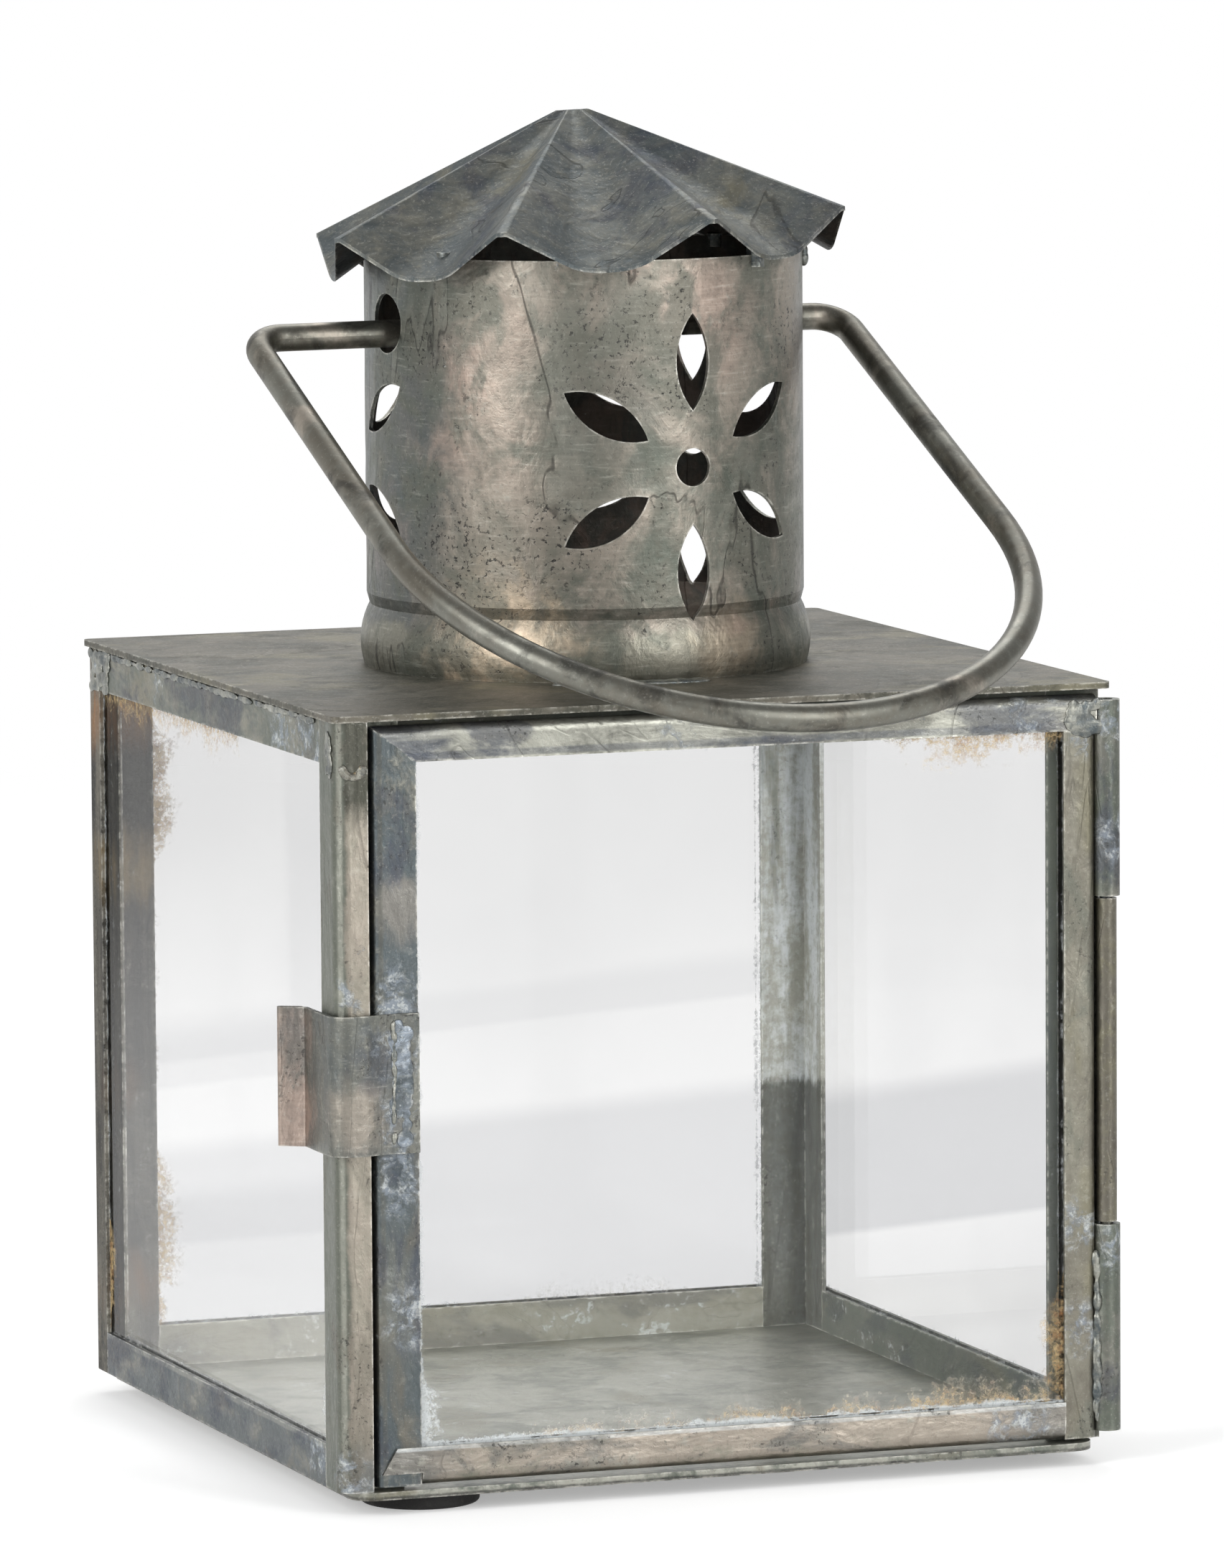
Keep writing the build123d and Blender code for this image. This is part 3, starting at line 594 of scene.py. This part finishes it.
solderRuns = {
    "latchSolder": {"body": "door", "low": (-0.0430, -0.05055, 0.0458), "high": (-0.0412, -0.0504, 0.0598),
                    "count": 60, "radius": (0.0005, 0.0009), "flat": (1.2, 0.20, 1.4), "seed": 3,
                    "finish": {"tones": ("slate", "haze"), "warm": ("haze", 0.1), "crust": 0.8}},
    "latchSeam": {"body": "door", "low": (-0.0432, -0.0506, 0.0455), "high": (-0.0429, -0.0505, 0.0600),
                  "count": 24, "radius": (0.0003, 0.0005), "flat": (0.7, 0.6, 1.8), "seed": 4},
    "postSolder": {"body": "case", "arc": ((-0.0478, -0.0500, 0.0913), 0.0013, 195, 345), "count": 40,
                   "radius": (0.0004, 0.0007), "flat": (1.0, 0.5, 0.9), "seed": 5,
                   "finish": {"tones": ("drab", "ash"), "warm": ("ochre", 0.2), "crust": 0.3,
                              "cloud": 700.0}},
    "postCornerSolder": {"body": "case", "low": (-0.0501, -0.0484, 0.0900),
                         "high": (-0.0500, -0.0468, 0.0958), "count": 26, "radius": (0.0003, 0.0006),
                         "flat": (0.35, 1.0, 1.3), "seed": 50},
    "hingeCornerSolder": {"body": "door", "low": (0.0452, -0.0501, 0.0912),
                          "high": (0.0488, -0.0500, 0.0948), "count": 30, "radius": (0.0005, 0.0010),
                          "flat": (1.2, 0.3, 1), "seed": 8},
    "sleeveSolder": {"body": "door", "low": (0.0484, -0.0500, 0.0060), "high": (0.0488, -0.0496, 0.0260),
                     "count": 36, "radius": (0.0004, 0.0008), "flat": (0.8, 0.6, 1.6), "seed": 12},
    "cornerSolder": {"body": "case", "low": (-0.0501, 0.0405, 0.0915), "high": (-0.0500, 0.0480, 0.0960),
                     "count": 34, "radius": (0.0005, 0.0011), "flat": (0.25, 1.3, 0.9), "seed": 21},
    "plateBead": {"body": "case", "ring": (0.0296, -26, 9, 0.0974), "count": 60, "radius": (0.0007, 0.0013),
                  "flat": (1.4, 0.9, 0.40), "seed": 30},
    "rimDrop": {"body": "case", "low": (0.0258, -0.0095, 0.1466), "high": (0.0260, -0.0093, 0.1488),
                "count": 7, "radius": (0.0005, 0.0008), "flat": (0.8, 0.8, 1.2), "seed": 33},
    "railSeam": {"body": "case", "low": (-0.0502, -0.0430, 0.0960), "high": (-0.0501, 0.0440, 0.0963),
                 "count": 130, "radius": (0.0003, 0.0006), "flat": (0.5, 2.4, 0.9), "seed": 40},
}
meltSettings = {"roundness": 3, "voxel": 0.00016, "settle": 3, "ringWander": 0.0004}


def solderSeeds(run):
    dice = random.Random(run["seed"])
    for _ in range(run["count"]):
        if "ring" in run:
            radius, start, end, level = run["ring"]
            turn = math.radians(dice.uniform(start, end))
            reach = radius + dice.uniform(-meltSettings["ringWander"], meltSettings["ringWander"])
            spot = (math.sin(turn) * reach, -math.cos(turn) * reach, level)
        elif "arc" in run:
            middle, radius, start, end = run["arc"]
            turn = math.radians(dice.uniform(start, end))
            spot = (middle[0] + math.cos(turn) * radius, middle[1], middle[2] + math.sin(turn) * radius)
        else:
            spot = tuple(dice.uniform(a, b) for a, b in zip(run["low"], run["high"]))
        yield spot, dice.uniform(*run["radius"])


def growSolder(name, run):
    bpy.ops.object.select_all(action="DESELECT")
    blobs = []
    for spot, radius in solderSeeds(run):
        bpy.ops.mesh.primitive_ico_sphere_add(subdivisions=meltSettings["roundness"], radius=radius,
                                              location=spot, scale=run["flat"])
        blobs.append(bpy.context.object)
    for blob in blobs:
        blob.select_set(True)
    bpy.ops.object.join()
    piece = bpy.context.object
    piece.name = name
    bpy.ops.object.transform_apply(location=True, rotation=True, scale=True)
    bpy.ops.object.modifier_add(type="REMESH")
    melt = piece.modifiers[-1]
    melt.mode = "VOXEL"
    melt.voxel_size = meltSettings["voxel"]
    bpy.ops.object.modifier_apply(modifier=melt.name)
    bpy.ops.object.modifier_add(type="SMOOTH")
    settle = piece.modifiers[-1]
    settle.iterations = meltSettings["settle"]
    bpy.ops.object.modifier_apply(modifier=settle.name)
    bpy.ops.object.shade_smooth()
    piece.data.materials.clear()
    piece.data.materials.append(tinFinish(name + "Finish", (run["seed"] * 0.31, 0.2, 0.5),
                                          **{**solderLook, **run.get("finish", {})}))
    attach(piece, run["body"])
    print(name, len(piece.data.polygons), "faces")


for name, run in solderRuns.items():
    growSolder(name, run)

# floor, light and background: white behind and beneath, a dim room in front with three soft boxes

stageSettings = {"floorSize": 8.0, "floor": (0.80, 0.80, 0.80), "glow": 0.34, "clearFrom": (0.20, 0.75),
                 "world": 0.50, "room": 0.32, "paneGlare": 0.30}


def paneMirror(place):
    # sharp mirror images come from the glass alone
    sharp, mirrored = place.path("Singular", "Reflection")
    return sharp * mirrored


def buildStage(settings):
    bpy.ops.mesh.primitive_plane_add(size=settings["floorSize"])
    floor = bpy.context.object
    floor.name = "floor"
    material, place = startMaterial("paleFloor")
    flat = place.node("ShaderNodeBsdfDiffuse", {}, {"Color": (*settings["floor"], 1.0)})
    glow = place.node("ShaderNodeEmission", {}, {"Color": (1, 1, 1, 1), "Strength": settings["glow"]})
    both = place.node("ShaderNodeAddShader", {}, {0: flat, 1: glow})
    camera, glossy, passing = place.path("Camera", "Glossy", "Transmission")
    dimmed = paneMirror(place) * (1.0 - settings["paneGlare"])
    white = place.node("ShaderNodeEmission", {}, {"Color": dimmed.mix((1, 1, 1), (0, 0, 0)), "Strength": 1.0})
    far = place.near((0, 0, 0)).step(*settings["clearFrom"])
    swept = place.node("ShaderNodeMixShader", {}, {0: far, 1: both, 2: white})
    seen = camera.most(glossy).most(passing)
    endMaterial(place, place.node("ShaderNodeMixShader", {}, {0: seen, 1: flat, 2: swept}))
    floor.data.materials.append(material)

    world = bpy.data.worlds.new("studio")
    scene.world = world
    world.use_nodes = True
    tree = world.node_tree
    tree.nodes.clear()
    toward = Sock(tree, tree.nodes.new("ShaderNodeTexCoord").outputs["Generated"])
    seen, glossy, passing = toward.path("Camera", "Glossy", "Transmission")
    white = seen.most(passing)
    backdrop = settings["room"] + (1.0 - settings["room"]) * toward.axes()[1].step(0.25, 0.70)
    backdrop = backdrop * (1.0 - paneMirror(toward) * (1.0 - settings["paneGlare"]))
    strength = white.most(glossy * backdrop + (1 - glossy) * settings["world"])
    background = toward.node("ShaderNodeBackground", {}, {"Color": (1, 1, 1, 1), "Strength": strength})
    out = tree.nodes.new("ShaderNodeOutputWorld")
    tree.links.new(background.socket, out.inputs["Surface"])


lamps = {
    "leftBox": {"azimuth": -64, "distance": 1.3, "height": 0.62, "size": (0.50, 1.0), "power": 12.0},
    "rightBox": {"azimuth": 24, "distance": 1.4, "height": 0.55, "size": (0.42, 1.0), "power": 10.0},
    "topBox": {"azimuth": 160, "distance": 1.0, "height": 1.2, "size": (0.9, 0.6), "power": 6.0},
}
lampAim = Vector((0, 0, 0.09))  # the middle of the lantern


def softLamp(name, azimuth, distance, height, size, power):
    turn = math.radians(azimuth)
    place = Vector((math.sin(turn) * distance, -math.cos(turn) * distance, height))
    data = bpy.data.lights.new(name, "AREA")
    data.shape = "RECTANGLE"
    data.size, data.size_y = size
    data.energy = power
    lamp = bpy.data.objects.new(name, data)
    scene.collection.objects.link(lamp)
    lamp.location = place
    lamp.rotation_mode = "QUATERNION"
    lamp.rotation_quaternion = (lampAim - place).to_track_quat("-Z", "Y")


buildStage(stageSettings)
for name, settings in lamps.items():
    softLamp(name, **settings)
scene.view_settings.view_transform = "Standard"
print("stage set")
